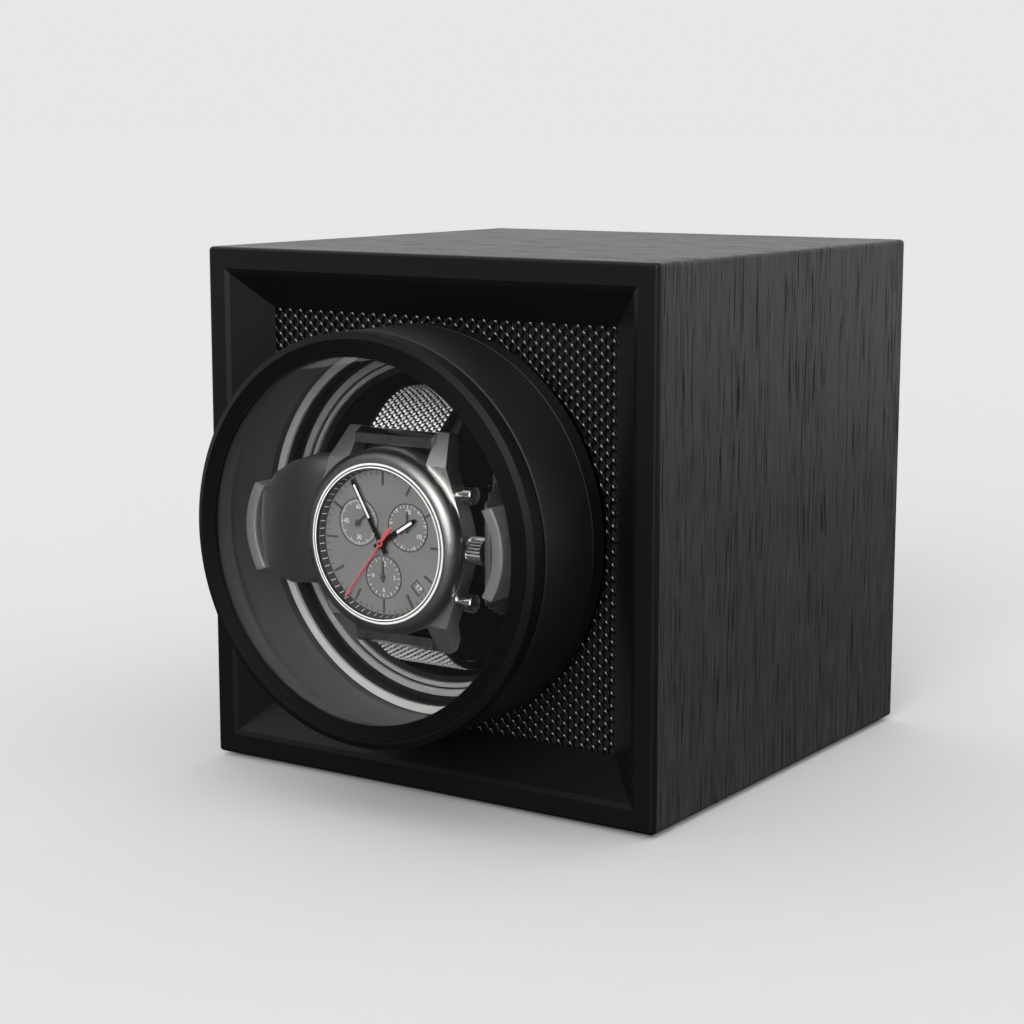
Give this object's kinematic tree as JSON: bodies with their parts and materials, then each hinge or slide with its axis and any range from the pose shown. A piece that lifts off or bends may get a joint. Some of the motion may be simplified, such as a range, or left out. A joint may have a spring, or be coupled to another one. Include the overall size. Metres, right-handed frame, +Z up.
{
  "type": "watch winder box",
  "caption": "Black cube watch winder with a bevelled front frame, a woven metal panel and a turning drum whose clear cover shows a chronograph on a cuff.",
  "frame": {"origin": "on the surface it stands on, under the middle of its bounding box", "axes": "+Z up, the drum faces -Y, +X to the right seen from the front"},
  "size_m": [0.12, 0.1428, 0.121],
  "materials": {
    "wood_veneer": "black stained open pore veneer",
    "frame_lacquer": "satin black lacquer",
    "mesh_wire": "woven dark metal wire",
    "black_board": "black stained fibreboard",
    "drum_black": "satin black moulding",
    "trim_satin": "satin anodised",
    "clear_acrylic": "clear polished",
    "black_rubber": "matt soft touch",
    "zinc_steel": "zinc plated",
    "bearing_bronze": "sintered",
    "gear_acetal": "natural white moulding",
    "motor_can": "drawn can",
    "circuit_green": "solder mask",
    "cell_wrap": "plain printed sleeve",
    "case_steel": "brushed",
    "bezel_steel": "brushed with a polished rim",
    "polished_steel": "polished",
    "sapphire": "clear coated",
    "dial_grey": "satin sunray",
    "flange_dark": "satin black",
    "marker_dark": "black nickel",
    "hand_black": "gloss black",
    "hand_red": "gloss red",
    "mesh_steel": "woven steel mesh",
    "spring_steel": "blued strip"
  },
  "bodies": {
    "case": {"top_panel": "wood_veneer", "bottom_panel": "wood_veneer", "left_panel": "wood_veneer", "right_panel": "wood_veneer", "front_frame": "frame_lacquer", "mesh_panel": "mesh_wire", "front_baffle": "black_board", "rubber_feet": "black_rubber", "chassis_posts": "zinc_steel", "chassis_plate": "zinc_steel", "bearing_housing": "drum_black", "spindle_bushes": "bearing_bronze", "motor_bracket": "zinc_steel", "gear_motor": "motor_can", "case_screws": "zinc_steel", "corner_blocks": "black_board", "rear_panel": "drum_black", "control_board": "circuit_green", "board_switches": "drum_black", "dc_jack": "drum_black", "battery_box": "drum_black", "battery_cells": "cell_wrap"},
    "drum": {"drum_barrel": "drum_black", "drum_cup": "drum_black", "drum_trim_rings": "trim_satin", "drum_spindle": "zinc_steel", "drum_gear": "gear_acetal"},
    "pinion": {"motor_pinion": "gear_acetal"},
    "cover": {"cover_ring": "drum_black", "cover_lens": "clear_acrylic", "cover_seal": "black_rubber"},
    "holder": {"cuff_core": "drum_black", "cuff_bolster_left": "black_rubber", "cuff_bolster_right": "black_rubber", "cuff_cheeks": "trim_satin", "jaw_spring": "spring_steel", "watch_case": "case_steel", "watch_bezel": "bezel_steel", "watch_crystal": "sapphire", "dial_flange": "flange_dark", "watch_dial": "dial_grey", "dial_markers": "marker_dark", "watch_movement": "bearing_bronze", "case_back": "case_steel", "strap_links": "case_steel", "watch_strap": "mesh_steel"},
    "jaw": {"cuff_jaw": "black_rubber"},
    "rotor": {"winding_rotor": "bearing_bronze"},
    "hours": {"hour_hand": "hand_black"},
    "minutes": {"minute_hand": "hand_black"},
    "chrono": {"chrono_hand": "hand_red"},
    "small_seconds": {"seconds_hand": "hand_black"},
    "minute_counter": {"minute_counter_hand": "hand_black"},
    "hour_counter": {"hour_counter_hand": "hand_black"},
    "crown": {"crown": "polished_steel"},
    "upper_pusher": {"pusher_upper": "polished_steel"},
    "lower_pusher": {"pusher_lower": "polished_steel"},
    "knob": {"mode_knob": "drum_black"},
    "button": {"power_button": "black_rubber"},
    "door": {"battery_door": "drum_black"}
  },
  "joints": [
    {"name": "drum_spin", "type": "hinge", "parent": "case", "child": "drum", "pos_m": [0, 0, 0.061], "axis": [0, 1, 0], "continuous": true},
    {"name": "pinion_spin", "type": "hinge", "parent": "case", "child": "pinion", "pos_m": [0, 0, 0.0925], "axis": [0, 1, 0], "continuous": true},
    {"name": "holder_pull", "type": "slide", "parent": "drum", "child": "holder", "axis": [0, -1, 0], "range_m": [0, 0.06]},
    {"name": "cover_pull", "type": "slide", "parent": "holder", "child": "cover", "axis": [0, -1, 0], "range_m": [0, 0.04]},
    {"name": "jaw_squeeze", "type": "slide", "parent": "holder", "child": "jaw", "axis": [0, 0, -1], "range_m": [0, 0.004], "stiffness_N_per_m": 400, "springref_m": -0.006, "deforming": ["jaw_spring"]},
    {"name": "rotor_swing", "type": "hinge", "parent": "holder", "child": "rotor", "pos_m": [0, 0, 0.0598], "axis": [0, 1, 0], "continuous": true},
    {"name": "minute_hand_turn", "type": "hinge", "parent": "holder", "child": "minutes", "pos_m": [0, 0, 0.0598], "axis": [0, 1, 0], "continuous": true},
    {"name": "hour_hand_turn", "type": "hinge", "parent": "holder", "child": "hours", "pos_m": [0, 0, 0.0598], "axis": [0, 1, 0], "continuous": true},
    {"name": "chrono_hand_turn", "type": "hinge", "parent": "holder", "child": "chrono", "pos_m": [0, 0, 0.0598], "axis": [0, 1, 0], "continuous": true},
    {"name": "small_seconds_turn", "type": "hinge", "parent": "holder", "child": "small_seconds", "pos_m": [-0.00658, 0, 0.0636], "axis": [0, 1, 0], "continuous": true},
    {"name": "minute_counter_turn", "type": "hinge", "parent": "holder", "child": "minute_counter", "pos_m": [0.00658, 0, 0.0636], "axis": [0, 1, 0], "continuous": true},
    {"name": "hour_counter_turn", "type": "hinge", "parent": "holder", "child": "hour_counter", "pos_m": [0, 0, 0.0522], "axis": [0, 1, 0], "continuous": true},
    {"name": "crown_turn", "type": "hinge", "parent": "holder", "child": "crown", "pos_m": [0, -0.0577, 0.0598], "axis": [1, 0, 0], "continuous": true},
    {"name": "upper_pusher_press", "type": "slide", "parent": "holder", "child": "upper_pusher", "axis": [-1, 0, 0], "range_m": [0, 0.001], "stiffness_N_per_m": 600},
    {"name": "lower_pusher_press", "type": "slide", "parent": "holder", "child": "lower_pusher", "axis": [-1, 0, 0], "range_m": [0, 0.001], "stiffness_N_per_m": 600},
    {"name": "mode_knob_turn", "type": "hinge", "parent": "case", "child": "knob", "pos_m": [-0.022, 0, 0.092], "axis": [0, 1, 0], "range_deg": [-60, 60]},
    {"name": "power_button_press", "type": "slide", "parent": "case", "child": "button", "axis": [0, -1, 0], "range_m": [0, 0.0015], "stiffness_N_per_m": 500},
    {"name": "battery_door_swing", "type": "hinge", "parent": "case", "child": "door", "pos_m": [0, 0.0667, 0.0156], "axis": [-1, 0, 0], "range_deg": [0, 100]}
  ],
  "couplings": [
    {"joint": "pinion_spin", "follows": "drum_spin", "ratio": -4},
    {"joint": "hour_hand_turn", "follows": "minute_hand_turn", "ratio": 0.083333},
    {"joint": "minute_counter_turn", "follows": "chrono_hand_turn", "ratio": 0.033333},
    {"joint": "hour_counter_turn", "follows": "chrono_hand_turn", "ratio": 0.0013889}
  ]
}
